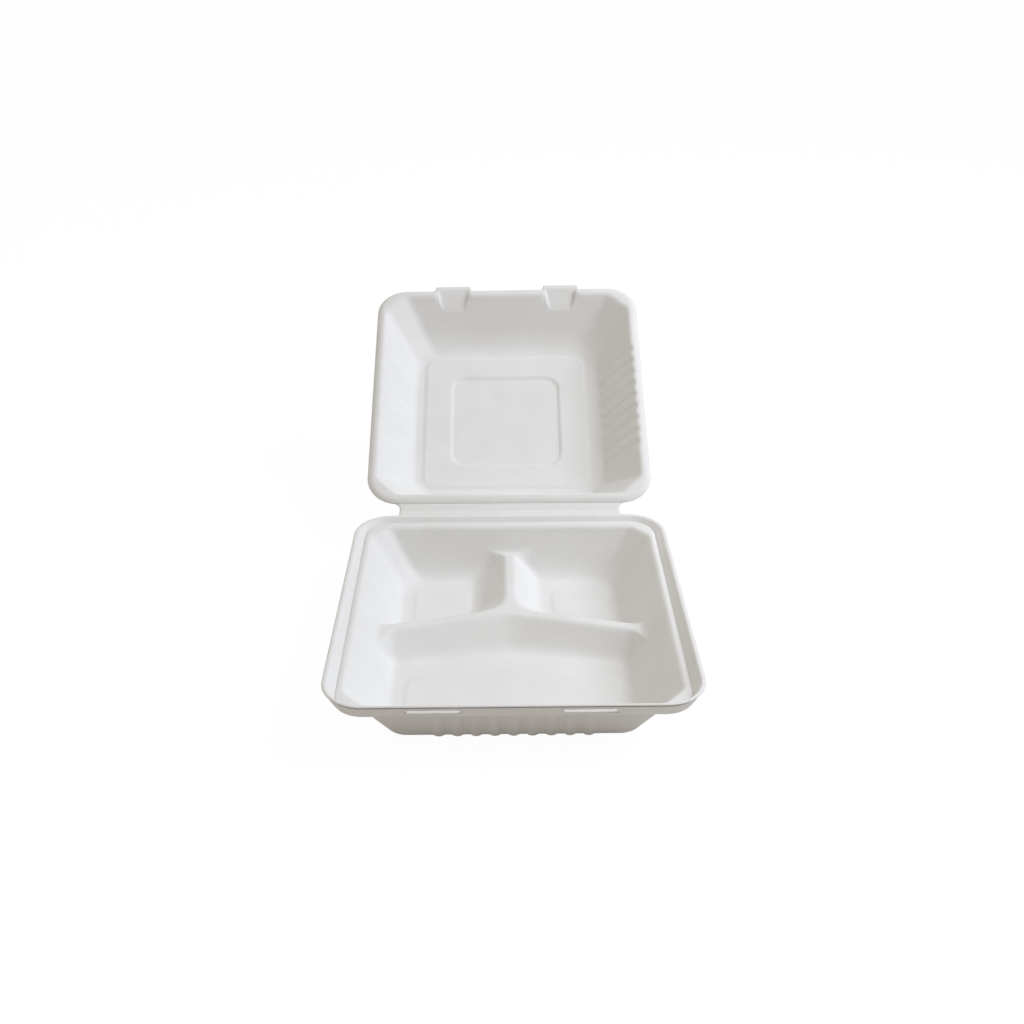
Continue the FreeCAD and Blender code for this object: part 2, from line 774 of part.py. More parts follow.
TAB_HEEL = f"({FLANGE_TOP} - tab_drop)"
TAB_LIP = f"({TAB_TOP} - tab_sheet)"
POCKET_FLOOR = f"({FLANGE_TOP} - tab_pocket)"
tabs = []
pockets = []
for side, sign in (("right", 1), ("left", -1)):
    tabs.append(
        tab_wedge(
            f"tab_{side}_ramp",
            sign,
            (TAB_HEEL, TAB_LIP),
            ("tab_width / 2 - tab_taper", "tab_width / 2"),
            (f"{wall_place(TAB_HEEL)} + wall", TAB_TIP),
        )
    )
    tabs.append(
        tab_wedge(
            f"tab_{side}_tip", sign, (TAB_LIP, TAB_TOP), ("tab_width / 2", "tab_width / 2"), (TAB_TIP, TAB_TIP)
        )
    )
    pockets.append(
        tab_wedge(
            f"pocket_{side}",
            sign,
            (POCKET_FLOOR, f"({FLANGE_TOP} + tab_sink)"),
            ("tab_width / 2 - tab_taper - sheet", "tab_width / 2 - sheet"),
            (f"{wall_place(POCKET_FLOOR)} + tab_sink", f"{TAB_TIP} - tab_sheet"),
        )
    )

# Lid's half of the hinge strip, and the plane that trims what reaches past the lid's panel

LID_STRIP = [
    ("strip_width / 2", "hinge_gap / 2"),
    ("strip_width / 2 + strip_splay", f"{LID_NEAR} + rim_land"),
    ("-strip_width / 2 - strip_splay", f"{LID_NEAR} + rim_land"),
    ("-strip_width / 2", "hinge_gap / 2"),
]
LID_STRIP_TOP = f"({FLANGE_EDGE} - strip_step)"
lid_strip = slab("lid_strip", LID_STRIP, f"{LID_STRIP_TOP} - strip_sheet", LID_STRIP_TOP)
lid_ground = block(
    "lid_ground",
    ("-rim_width", "-rim_width", f"{LID_FLOOR} - sheet - lid_depth"),
    ("2 * rim_width", "4 * rim_width", "lid_depth"),
)

lid_block = cut("lid_block", fuse("lid_forms", [lid_form, flange, lid_strip, trimmed_ribs, *tabs]), lid_ground)
lid_shell = cut("lid_shell", lid_block, fuse("lid_hollows", [lid_well, *rib_grooves, *pockets]))
lid_framed = cut("lid_framed", fuse("lid_padded", [lid_shell, frame_pad]), frame_recess)
lid = cut("lid", fuse("lid_whole", [lid_framed, dish_pad]), dish)
hinge_axis = FreeCAD.Vector(1, 0, 0)
lid.Placement = FreeCAD.Placement(FreeCAD.Vector(), FreeCAD.Rotation(hinge_axis, size("lid_angle")))
lid.setExpression("Placement.Rotation.Angle", bound("lid_angle"))
lid.setExpression("Placement.Base.y", bound(f"{BACK} + hinge_reach"))
lid.setExpression("Placement.Base.z", bound(HINGE_HEIGHT))

# Check and write

tray.Label = "tray"
lid.Label = "lid"
document.recompute()
for thing in document.Objects:
    if "Invalid" in thing.State or "Error" in thing.State:
        raise RuntimeError(f"{thing.Name} did not recompute: {thing.State}")
    if hasattr(thing, "Shape") and (thing.Shape.isNull() or not thing.Shape.isValid()):
        raise RuntimeError(f"{thing.Name} has no valid shape")
for piece in (tray, lid):
    if len(piece.Shape.Solids) != 1:
        raise RuntimeError(f"{piece.Label} is not one solid")
    piece.Shape.exportStep(f"parts/{piece.Label}.step")
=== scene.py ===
"""Open clamshell food container of moulded fibre: tray with three hollows, shallow lid and the fold between."""
import logging
import math
from dataclasses import dataclass, field
from enum import Enum

import bmesh
import bpy
import numpy as np
from mathutils import Euler, Matrix, Vector


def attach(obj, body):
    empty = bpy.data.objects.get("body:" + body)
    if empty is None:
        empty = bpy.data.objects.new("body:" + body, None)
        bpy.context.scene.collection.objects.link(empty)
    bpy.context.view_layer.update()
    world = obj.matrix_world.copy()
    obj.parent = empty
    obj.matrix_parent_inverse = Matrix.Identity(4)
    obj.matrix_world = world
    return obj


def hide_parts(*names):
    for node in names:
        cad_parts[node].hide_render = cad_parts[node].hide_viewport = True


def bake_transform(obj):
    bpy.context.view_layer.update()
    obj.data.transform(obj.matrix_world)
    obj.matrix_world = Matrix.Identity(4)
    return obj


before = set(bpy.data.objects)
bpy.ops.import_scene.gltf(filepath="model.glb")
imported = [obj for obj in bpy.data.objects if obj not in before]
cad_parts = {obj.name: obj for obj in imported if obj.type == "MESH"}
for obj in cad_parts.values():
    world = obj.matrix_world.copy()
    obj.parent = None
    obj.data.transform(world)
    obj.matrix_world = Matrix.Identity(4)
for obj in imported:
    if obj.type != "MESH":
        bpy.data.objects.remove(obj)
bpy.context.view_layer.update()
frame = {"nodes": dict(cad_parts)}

MM = 0.001
TINY = 1e-6
log = logging.getLogger("clamshell")


def soft_max(first: np.ndarray, second: np.ndarray, reach: float | np.ndarray) -> np.ndarray:
    """The higher of two heights, with the crease between them rounded.

    Args:
        first: One surface's heights.
        second: The other surface's heights.
        reach: Height difference within which the two blend.

    Returns:
        The joined surface's heights.
    """
    share = np.clip(0.5 + 0.5 * (first - second) / reach, 0.0, 1.0)
    return second + (first - second) * share + reach * share * (1.0 - share)


def soft_min(first: np.ndarray, second: np.ndarray, reach: float) -> np.ndarray:
    """The lower of two heights, with the edge between them rounded.

    Args:
        first: One surface's heights.
        second: The other surface's heights.
        reach: Height difference within which the two blend.

    Returns:
        The joined surface's heights.
    """
    return -soft_max(-first, -second, reach)


def ease(value: np.ndarray) -> np.ndarray:
    """A smooth step from 0 to 1 as the value goes from 0 to 1."""
    share = np.clip(value, 0.0, 1.0)
    return share * share * (3.0 - 2.0 * share)


@dataclass(frozen=True)
class Outline:
    """A rectangle with round corners, in millimetres."""

    half: float
    front: float
    back: float
    radius: float

    def outside(self, x: np.ndarray, y: np.ndarray) -> np.ndarray:
        """How far points lie outside the outline.

        Args:
            x: Places across.
            y: Places along.

        Returns:
            Distances, negative within the outline.
        """
        middle = (self.front + self.back) / 2
        over_x = np.abs(x) - self.half + self.radius
        over_y = np.abs(y - middle) - (self.back - self.front) / 2 + self.radius
        corner = np.hypot(np.maximum(over_x, 0.0), np.maximum(over_y, 0.0))
        return corner + np.minimum(np.maximum(over_x, over_y), 0.0) - self.radius


@dataclass(frozen=True)
class Ring:
    """One ring of the sheet's mesh: how many rings in it lies, and its outline there."""

    place: int
    outline: Outline


@dataclass(frozen=True)
class Ribs:
    """A row of round ribs pressed into a wall, in millimetres."""

    pitch: float
    count: int
    middle: float = 0.0
    radius: float = 4.0
    sunk: float = 2.5
    edge: float = 0.5

    def height(self) -> float:
        """How far a rib stands out at its middle."""
        return self.radius - self.sunk

    def reach(self, place: np.ndarray) -> np.ndarray:
        """How far the ribs stand out of the wall.

        Args:
            place: Places along the wall.

        Returns:
            Heights of the ribs, 0 between them and past the row's ends.
        """
        turn = np.abs(((place - self.middle) / self.pitch + 0.5) % 1.0 - 0.5) * self.pitch
        rib = np.sqrt(np.clip(self.radius**2 - turn**2, 0.0, None)) - self.sunk
        within = np.abs(place - self.middle) < self.count / 2 * self.pitch
        return soft_max(rib, np.zeros_like(rib), self.edge) * within


@dataclass(frozen=True)
class FibreFinish:
    """Pressed plant fibre: off-white, matt, with a fine felt of fibres and a little mottling.

    Each noise is a scale and a detail, and each bump a strength and a height in metres.
    """

    name: str = "pressed_fibre"
    pale: tuple[float, float, float] = (0.83, 0.826, 0.812)
    deep: tuple[float, float, float] = (0.805, 0.798, 0.778)
    tone_reach: tuple[float, float] = (0.30, 0.62)
    fleck: tuple[float, float, float] = (0.66, 0.63, 0.56)
    fleck_reach: tuple[float, float] = (0.68, 0.80)
    fleck_share: float = 0.35
    roughness: tuple[float, float] = (0.68, 0.86)
    specular: float = 0.28
    sheen: float = 0.05
    mottle_noise: tuple[float, float] = (38.0, 5.0)
    felt_noise: tuple[float, float] = (900.0, 4.0)
    fibre_noise: tuple[float, float] = (420.0, 3.0)
    fibre_stretch: float = 0.22
    mottle_bump: tuple[float, float] = (0.5, 0.00018)
    felt_bump: tuple[float, float] = (0.6, 0.00010)

    def material(self) -> bpy.types.Material:
        """Build the finish.

        Returns:
            The finish as a node material.
        """
        material = bpy.data.materials.new(self.name)
        material.use_nodes = True
        nodes, links = material.node_tree.nodes, material.node_tree.links
        shader = nodes["Principled BSDF"]
        shader.inputs["Specular IOR Level"].default_value = self.specular
        shader.inputs["Sheen Weight"].default_value = self.sheen
        place = nodes.new("ShaderNodeTexCoord").outputs["Object"]

        def noise(look: tuple[float, float], stretch: tuple[float, float, float]) -> bpy.types.NodeSocket:
            """A noise on the piece's own coordinates, stretched along the low axis."""
            turn = nodes.new("ShaderNodeMapping")
            turn.inputs["Scale"].default_value = stretch
            texture = nodes.new("ShaderNodeTexNoise")
            texture.inputs["Scale"].default_value, texture.inputs["Detail"].default_value = look
            links.new(place, turn.inputs["Vector"])
            links.new(turn.outputs["Vector"], texture.inputs["Vector"])
            return texture.outputs["Fac"]

        def ramp(
            source: bpy.types.NodeSocket,
            reach: tuple[float, float],
            low: tuple[float, float, float],
            high: tuple[float, float, float],
        ) -> bpy.types.NodeSocket:
            """A colour that goes from low to high as the source passes through the reach."""
            node = nodes.new("ShaderNodeValToRGB")
            for stop, position, colour in zip(node.color_ramp.elements, reach, (low, high)):
                stop.position = position
                stop.color = (*colour, 1.0)
            links.new(source, node.inputs["Fac"])
            return node.outputs["Color"]

        def join(
            operation: str, first: bpy.types.NodeSocket, second: bpy.types.NodeSocket
        ) -> bpy.types.NodeSocket:
            """Two values put together."""
            node = nodes.new("ShaderNodeMath")
            node.operation = operation
            links.new(first, node.inputs[0])
            links.new(second, node.inputs[1])
            return node.outputs["Value"]

        def bump(look: tuple[float, float], height: bpy.types.NodeSocket) -> bpy.types.Node:
            """A bump of one strength and height."""
            node = nodes.new("ShaderNodeBump")
            node.inputs["Strength"].default_value, node.inputs["Distance"].default_value = look
            links.new(height, node.inputs["Height"])
            return node

        mottle = noise(self.mottle_noise, (1.0, 1.0, 1.0))
        felt = noise(self.felt_noise, (1.0, 1.0, 1.0))
        fibres = noise(self.fibre_noise, (1.0, self.fibre_stretch, 1.0))
        cross_fibres = noise(self.fibre_noise, (self.fibre_stretch, 1.0, 1.0))

        colour = nodes.new("ShaderNodeMix")
        colour.data_type = "RGBA"
        colour.inputs["B"].default_value = (*self.fleck, 1.0)
        flecks = ramp(fibres, self.fleck_reach, (0.0,) * 3, (self.fleck_share,) * 3)
        links.new(flecks, colour.inputs["Factor"])
        links.new(ramp(mottle, self.tone_reach, self.deep, self.pale), colour.inputs["A"])
        links.new(colour.outputs["Result"], shader.inputs["Base Color"])

        matt = nodes.new("ShaderNodeMapRange")
        matt.inputs["To Min"].default_value, matt.inputs["To Max"].default_value = self.roughness
        links.new(felt, matt.inputs["Value"])
        links.new(matt.outputs["Result"], shader.inputs["Roughness"])

        broad = bump(self.mottle_bump, mottle)
        fine = bump(self.felt_bump, join("ADD", join("MAXIMUM", fibres, cross_fibres), felt))
        links.new(broad.outputs["Normal"], fine.inputs["Normal"])
        links.new(fine.outputs["Normal"], shader.inputs["Normal"])
        return material


@dataclass
class PressedSheet:
    """A sheet pressed into one form: a grid in rings, each point at the form's height, with a thickness."""

    name: str = "sheet"
    cells: int = 208
    thickness: float = 1.8
    rings: list[Ring] = field(default_factory=list)

    def ring_sizes(self) -> tuple[np.ndarray, ...]:
        """Outline sizes of every ring, from the rim to the middle.

        Returns:
            Half widths, fronts, backs and corner radii.
        """
        places = [ring.place for ring in self.rings]
        steps = np.arange(self.cells // 2 + 1)
        columns = [
            [getattr(ring.outline, size) for ring in self.rings]
            for size in ("half", "front", "back", "radius")
        ]
        return tuple(np.interp(steps, places, column) for column in columns)

    def spread(self, i: np.ndarray, j: np.ndarray) -> tuple[np.ndarray, np.ndarray]:
        """Places of grid points on their rings.

        Args:
            i: Column of each point.
            j: Row of each point.

        Returns:
            Places across and along, in millimetres.
        """
        middle = self.cells // 2
        ring = np.minimum(np.minimum(i, self.cells - i), np.minimum(j, self.cells - j))
        halves, fronts, backs, radii = (sizes[ring] for sizes in self.ring_sizes())
        span = np.maximum(middle - ring, 1)
        half_length = (backs - fronts) / 2
        x = halves * (i - middle) / span
        y = half_length * (j - middle) / span
        over_x = np.abs(x) - (halves - radii)
        over_y = np.abs(y) - (half_length - radii)
        turning = (over_x > 0) & (over_y > 0)
        length = np.maximum(np.hypot(over_x, over_y), TINY)
        x = np.where(turning, np.sign(x) * (halves - radii + over_x / length * radii), x)
        y = np.where(turning, np.sign(y) * (half_length - radii + over_y / length * radii), y)
        return x, y + (fronts + backs) / 2

    def height(self, x: np.ndarray, y: np.ndarray) -> np.ndarray:
        """Height of the form's upper surface at points across and along."""
        raise NotImplementedError

    def settle(self, x: np.ndarray, y: np.ndarray) -> tuple[np.ndarray, np.ndarray]:
        """Last sideways move of the points, such as a tab's reach."""
        return x, y

    def trim(self, mesh: bmesh.types.BMesh) -> None:
        """Cut openings into the sheet."""

    def build(self, place: Matrix) -> bpy.types.Object:
        """Press the sheet and give it its thickness.

        Args:
            place: Where the form's frame lies in the container's frame.

        Returns:
            The finished piece.
        """
        mesh = bmesh.new()
        bmesh.ops.create_grid(mesh, x_segments=self.cells, y_segments=self.cells, size=self.cells / 2)
        grid = np.array([vertex.co[:2] for vertex in mesh.verts]) + self.cells / 2
        i, j = np.rint(grid).astype(int).T
        flat_x, flat_y = self.spread(i, j)
        heights = self.height(flat_x, flat_y)
        across, along = self.settle(flat_x, flat_y)
        for vertex, x, y, z in zip(mesh.verts, across, along, heights):
            vertex.co = (x * MM, y * MM, z * MM)
        self.trim(mesh)
        return finish_sheet(mesh, self.name, self.thickness, place)


def finish_sheet(mesh: bmesh.types.BMesh, name: str, thickness: float, place: Matrix) -> bpy.types.Object:
    """Turn a pressed surface into a piece with a thickness.

    Args:
        mesh: The surface.
        name: Name of the piece.
        thickness: Thickness below the surface, in millimetres.
        place: Where the surface's frame lies in the container's frame.

    Returns:
        The piece, smooth, with its place in its mesh.
    """
    bmesh.ops.recalc_face_normals(mesh, faces=mesh.faces)
    if sum(face.normal.z * face.calc_area() for face in mesh.faces) < 0:
        bmesh.ops.reverse_faces(mesh, faces=mesh.faces)
    data = bpy.data.meshes.new(name)
    for face in mesh.faces:
        face.smooth = True
    mesh.to_mesh(data)
    mesh.free()
    piece = bpy.data.objects.new(name, data)
    bpy.context.collection.objects.link(piece)
    solid = piece.modifiers.new("thickness", "SOLIDIFY")
    solid.thickness = thickness * MM
    solid.offset = -1.0
    solid.use_even_offset = False
    solid.use_quality_normals = True
    data.transform(place)
    return piece


@dataclass
class TraySheet(PressedSheet):
    """The tray: rim, ledge, leaning walls with cut corners, three floors and the low divider."""

    name: str = "tray_shell"

    # Rim: crest, ledge, groove and the rings of the mesh, as insets from the side, front and back.
    half: float = 115.0
    front: float = -112.5
    back: float = 112.5
    corner: float = 26.0
    ledge: float = 38.5
    ledge_blend: float = 2.4
    front_crest: float = 46.0
    back_crest: float = 41.05
    crest_blend: float = 1.0
    crest_round: float = 0.7
    crest_round_reach: float = 1.0
    groove: tuple[float, float, float] = (7.3, 4.2, 5.8)
    groove_depth: float = 0.9
    groove_shift: float = 0.2
    groove_width: float = 0.65
    ledge_hollow: float = 0.35
    ledge_hollow_reach: float = 4.0
    mouth: tuple[float, float, float] = (2.9, 1.8, 3.4)
    flare_power: float = 1.6
    flare_most: float = 1.6
    flare_least_run: float = 0.1
    strip_half: float = 86.0
    strip_fade: float = 4.0
    strip_depth: float = 8.0
    rim_rings: tuple[tuple[int, float, float, float], ...] = (
        (0, 0.0, 0.0, 0.0),
        (2, 0.8, 0.8, 0.8),
        (5, 2.6, 1.9, 2.8),
        (8, 4.0, 2.8, 4.0),
        (13, 6.6, 4.0, 5.4),
        (18, 8.6, 5.6, 7.4),
        (23, 12.6, 10.8, 14.2),
    )
    floor_ring: int = 47
    floor_ring_out: float = 1.0
    floor_ring_corner: float = 10.0

    # Walls: floor and lip outlines, the left and right floors' drift outwards, corner cuts and flutes.
    floor: float = 1.8
    floor_half: float = 78.5
    drift: tuple[float, float] = (2.4, -0.6)
    floor_front: float = -86.5
    floor_back: float = 84.5
    lip_half: float = 103.0
    lip_front: float = -101.9
    lip_back: float = 98.7
    cut_top: float = 13.0
    cut_floor: float = 8.0
    hollowness: float = 0.14
    corner_blend: float = 4.0
    end_blend: float = 1.0
    foot_blend: float = 5.5
    back_foot_blend: float = 8.0
    back_foot_from: float = 60.0
    back_foot_reach: float = 25.0
    flutes: Ribs = Ribs(11.6, 9)
    flute_swell: float = 1.1
    flute_top: float = 31.0
    flute_fade: float = 6.0

    # Divider: where the arms fork, how they run and how they widen where they meet the walls.
    fork: float = 16.4
    fork_shift: float = 3.0
    fork_bend: float = 7.0
    fork_blend: float = 18.0
    arm_slope: float = 0.233
    arm_back: float = 17.0
    arm_end: tuple[float, float, float] = (91.0, 16.0, 19.0)
    arm_end_front: float = 14.0
    arm_end_back: float = 3.0
    foot_front: float = -4.0
    foot_slope: float = 0.155
    ridge: float = 20.5
    ridge_top: float = 7.0
    ridge_edge: float = 0.5
    ridge_blend: float = 1.6
    stem_left: float = 20.0
    stem_right: float = 16.5
    stem_shift: float = 0.5
    stem_end: tuple[float, float, float] = (92.0, 9.0, 12.0)
    stem_end_left: float = 17.0
    stem_end_right: float = 15.3
    no_stem: float = -20.0
    divider_blend: float = 4.5

    # Raised panels of the floors.
    panel_margin: float = 8.5
    panel_front_gap: float = 11.0
    panel_back_gap: float = 10.0
    panel_inner_gap: float = 2.0
    panel_blend: float = 6.0
    panel_edge: float = 2.4
    panel_rise: float = 0.8

    # Slots for the lid's tabs.
    slot_places: tuple[float, float] = (-47.5, 44.5)
    slot_half: float = 16.0
    slot_bottom: float = 39.6
    slot_top: float = 42.8
    slot_inset: float = 4.0

    def __post_init__(self) -> None:
        """Lay the mesh's rings where the rim, walls and floor need them."""
        out = self.floor_ring_out
        floor = Outline(
            self.floor_half + out, self.floor_front - out, self.floor_back + out, self.floor_ring_corner
        )
        self.rings = [Ring(place, self.inset(*insets)) for place, *insets in self.rim_rings]
        self.rings.append(Ring(self.floor_ring, floor))
        self.rings.append(Ring(self.cells // 2, Outline(0.0, 0.0, 0.0, 0.0)))

    def inset(self, side: float, front: float, back: float) -> Outline:
        """The rim's outline drawn in.

        Args:
            side: Inset at the sides and corners.
            front: Inset at the front.
            back: Inset at the back.

        Returns:
            The smaller outline.
        """
        return Outline(self.half - side, self.front + front, self.back - back, self.corner - side)

    def walls(self, x: np.ndarray, y: np.ndarray) -> np.ndarray:
        """Heights of the leaning walls, their flat cut corners and the front wall's flutes.

        Args:
            x: Places across.
            y: Places along.

        Returns:
            Heights of the walls' planes, rounded where they meet.
        """
        rise = self.ledge - self.floor
        across = np.abs(x)
        foot = self.floor_half + np.where(x < 0, *self.drift)
        out = (across - foot) / (self.lip_half - foot)
        share = np.clip(out, 0.0, 1.0)
        side = self.floor + rise * (out + self.hollowness * share * (1.0 - share))
        back = self.floor + (y - self.floor_back) * rise / (self.lip_back - self.floor_back)
        front = self.floor + (self.floor_front - y) * rise / (self.floor_front - self.lip_front)
        fade = ease((self.flute_top - front) / self.flute_fade)
        lean = rise / (self.floor_front - self.lip_front)
        front = front - self.flutes.reach(x) * fade * lean * self.flute_swell
        cuts = []
        for sign, foot, lip in ((-1, self.floor_front, self.lip_front), (1, self.floor_back, self.lip_back)):
            low = self.floor_half + abs(foot) - self.cut_floor
            high = self.lip_half + abs(lip) - self.cut_top
            cuts.append(self.floor + (across + sign * y - low) * rise / (high - low))
        walls = soft_max(side, cuts[0], self.corner_blend)
        walls = soft_max(walls, cuts[1], self.corner_blend)
        return soft_max(walls, soft_max(front, back, self.end_blend), self.corner_blend)

    def divider(self, x: np.ndarray, y: np.ndarray) -> np.ndarray:
        """Heights of the stem and the two arms, which widen where they meet each other and the walls.

        Args:
            x: Places across.
            y: Places along.

        Returns:
            Heights of the divider, below the floor away from it.
        """
        rise = self.ridge - self.floor
        half_top = self.ridge_top / 2
        across = np.hypot(x + self.fork_shift, self.fork_bend) - self.fork_shift
        lean = math.hypot(1.0, self.arm_slope)
        arm_wall, arm_start, arm_run = self.arm_end
        stem_wall, stem_start, stem_run = self.stem_end
        arm_end = ease((np.abs(x) - arm_wall + arm_start) / arm_run) ** 2
        stem_end = ease((y - stem_wall + stem_start) / stem_run) ** 2
        edge = self.fork - self.arm_slope * across - half_top * lean
        foot = self.foot_front - self.foot_slope * across
        front = (edge - arm_end * self.arm_end_front - y) / (edge - foot)
        back = (y - edge - self.ridge_top * lean - arm_end * self.arm_end_back) / (self.arm_back * lean)
        left = (-x - half_top - self.stem_shift - stem_end * self.stem_end_left) / self.stem_left
        right = (x - half_top + self.stem_shift - stem_end * self.stem_end_right) / self.stem_right
        front, back, left, right = (self.ridge - rise * down for down in (front, back, left, right))
        arm = soft_min(front, back, self.ridge_edge)
        stem = np.where(y > edge, soft_min(left, right, self.ridge_edge), self.no_stem)
        ridge = soft_max(arm, soft_min(stem, front, self.ridge_edge), self.fork_blend)
        return soft_min(ridge, np.full_like(ridge, self.ridge), self.ridge_blend)

    def panels(self, x: np.ndarray, y: np.ndarray) -> np.ndarray:
        """How far the floors rise in their panels.

        Args:
            x: Places across.
            y: Places along.

        Returns:
            Rises above the floor.
        """
        across = np.abs(x)
        blend = self.panel_blend
        lean = math.hypot(1.0, self.arm_slope)
        side = across - (self.floor_half - self.panel_margin)
        near = (self.floor_front + self.panel_margin) - y
        front_foot = self.foot_front - self.panel_margin - self.panel_front_gap
        back_foot = self.fork + (self.ridge_top / 2 + self.arm_back) * lean + self.panel_margin
        arm_front = (y - front_foot + across * self.foot_slope) / lean
        arm_back = (back_foot - across * self.arm_slope - y) / lean
        inner = self.ridge_top / 2 + self.stem_left + self.panel_margin - self.panel_inner_gap - across
        far = y - (self.floor_back - self.panel_margin - self.panel_back_gap)
        front = soft_max(soft_max(side, near, blend), arm_front, blend)
        back = soft_max(soft_max(side, far, blend), soft_max(arm_back, inner, blend), blend)
        return self.panel_rise * sum(ease(0.5 - edge / self.panel_edge) for edge in (front, back))

    def rim(self, x: np.ndarray, y: np.ndarray, inner: np.ndarray) -> np.ndarray:
        """Press the groove into the ledge and flare the rim up to its crest.

        Args:
            x: Places across.
            y: Places along.
            inner: Heights of the ledge and of all within it.

        Returns:
            Heights of the whole tray.
        """
        along = (y - self.front) / (self.back - self.front)
        crest = self.front_crest + (self.back_crest - self.front_crest) * along
        groove = self.inset(*self.groove).outside(x, y)
        mouth = self.inset(*self.mouth).outside(x, y)
        share = np.clip(groove / np.maximum(groove - mouth, self.flare_least_run), 0.0, self.flare_most)
        pressed = self.groove_depth * np.exp(-(((groove + self.groove_shift) / self.groove_width) ** 2))
        pressed = pressed + self.ledge_hollow * ease(1.0 + groove / self.ledge_hollow_reach) * (groove < 0)
        flare = inner - pressed + (crest - self.ledge) * share**self.flare_power
        edge = -self.inset(0.0, 0.0, 0.0).outside(x, y)
        on_strip = ease((self.strip_half - np.abs(x)) / self.strip_fade) * (y > self.back - self.strip_depth)
        rounding = self.crest_round * np.clip(1.0 - edge / self.crest_round_reach, 0.0, 1.0) ** 2
        return soft_min(flare, crest - rounding * (1.0 - on_strip), self.crest_blend)

    def height(self, x: np.ndarray, y: np.ndarray) -> np.ndarray:
        """Height of the tray's upper surface.

        Args:
            x: Places across.
            y: Places along.

        Returns:
            Heights in millimetres.
        """
        at_back = ease((y - self.back_foot_from) / self.back_foot_reach)
        foot_blend = self.foot_blend + self.back_foot_blend * at_back
        inner = soft_max(self.walls(x, y), self.floor + self.panels(x, y), foot_blend)
        inner = soft_max(inner, self.divider(x, y), self.divider_blend)
        inner = soft_min(inner, np.full_like(x, self.ledge), self.ledge_blend)
        return self.rim(x, y, inner)

    def trim(self, mesh: bmesh.types.BMesh) -> None:
        """Cut the two slots into the front of the rim.

        Args:
            mesh: The pressed surface.
        """
        for place in self.slot_places:
            cut = []
            for face in mesh.faces:
                middle = face.calc_center_median() / MM
                in_front = middle.y < self.lip_front - self.slot_inset
                beside = abs(middle.x - place) < self.slot_half
                if beside and in_front and self.slot_bottom < middle.z < self.slot_top:
                    cut.append(face)
            bmesh.ops.delete(mesh, geom=cut, context="FACES")
            log.info("slot at %.1f: %d faces cut", place, len(cut))


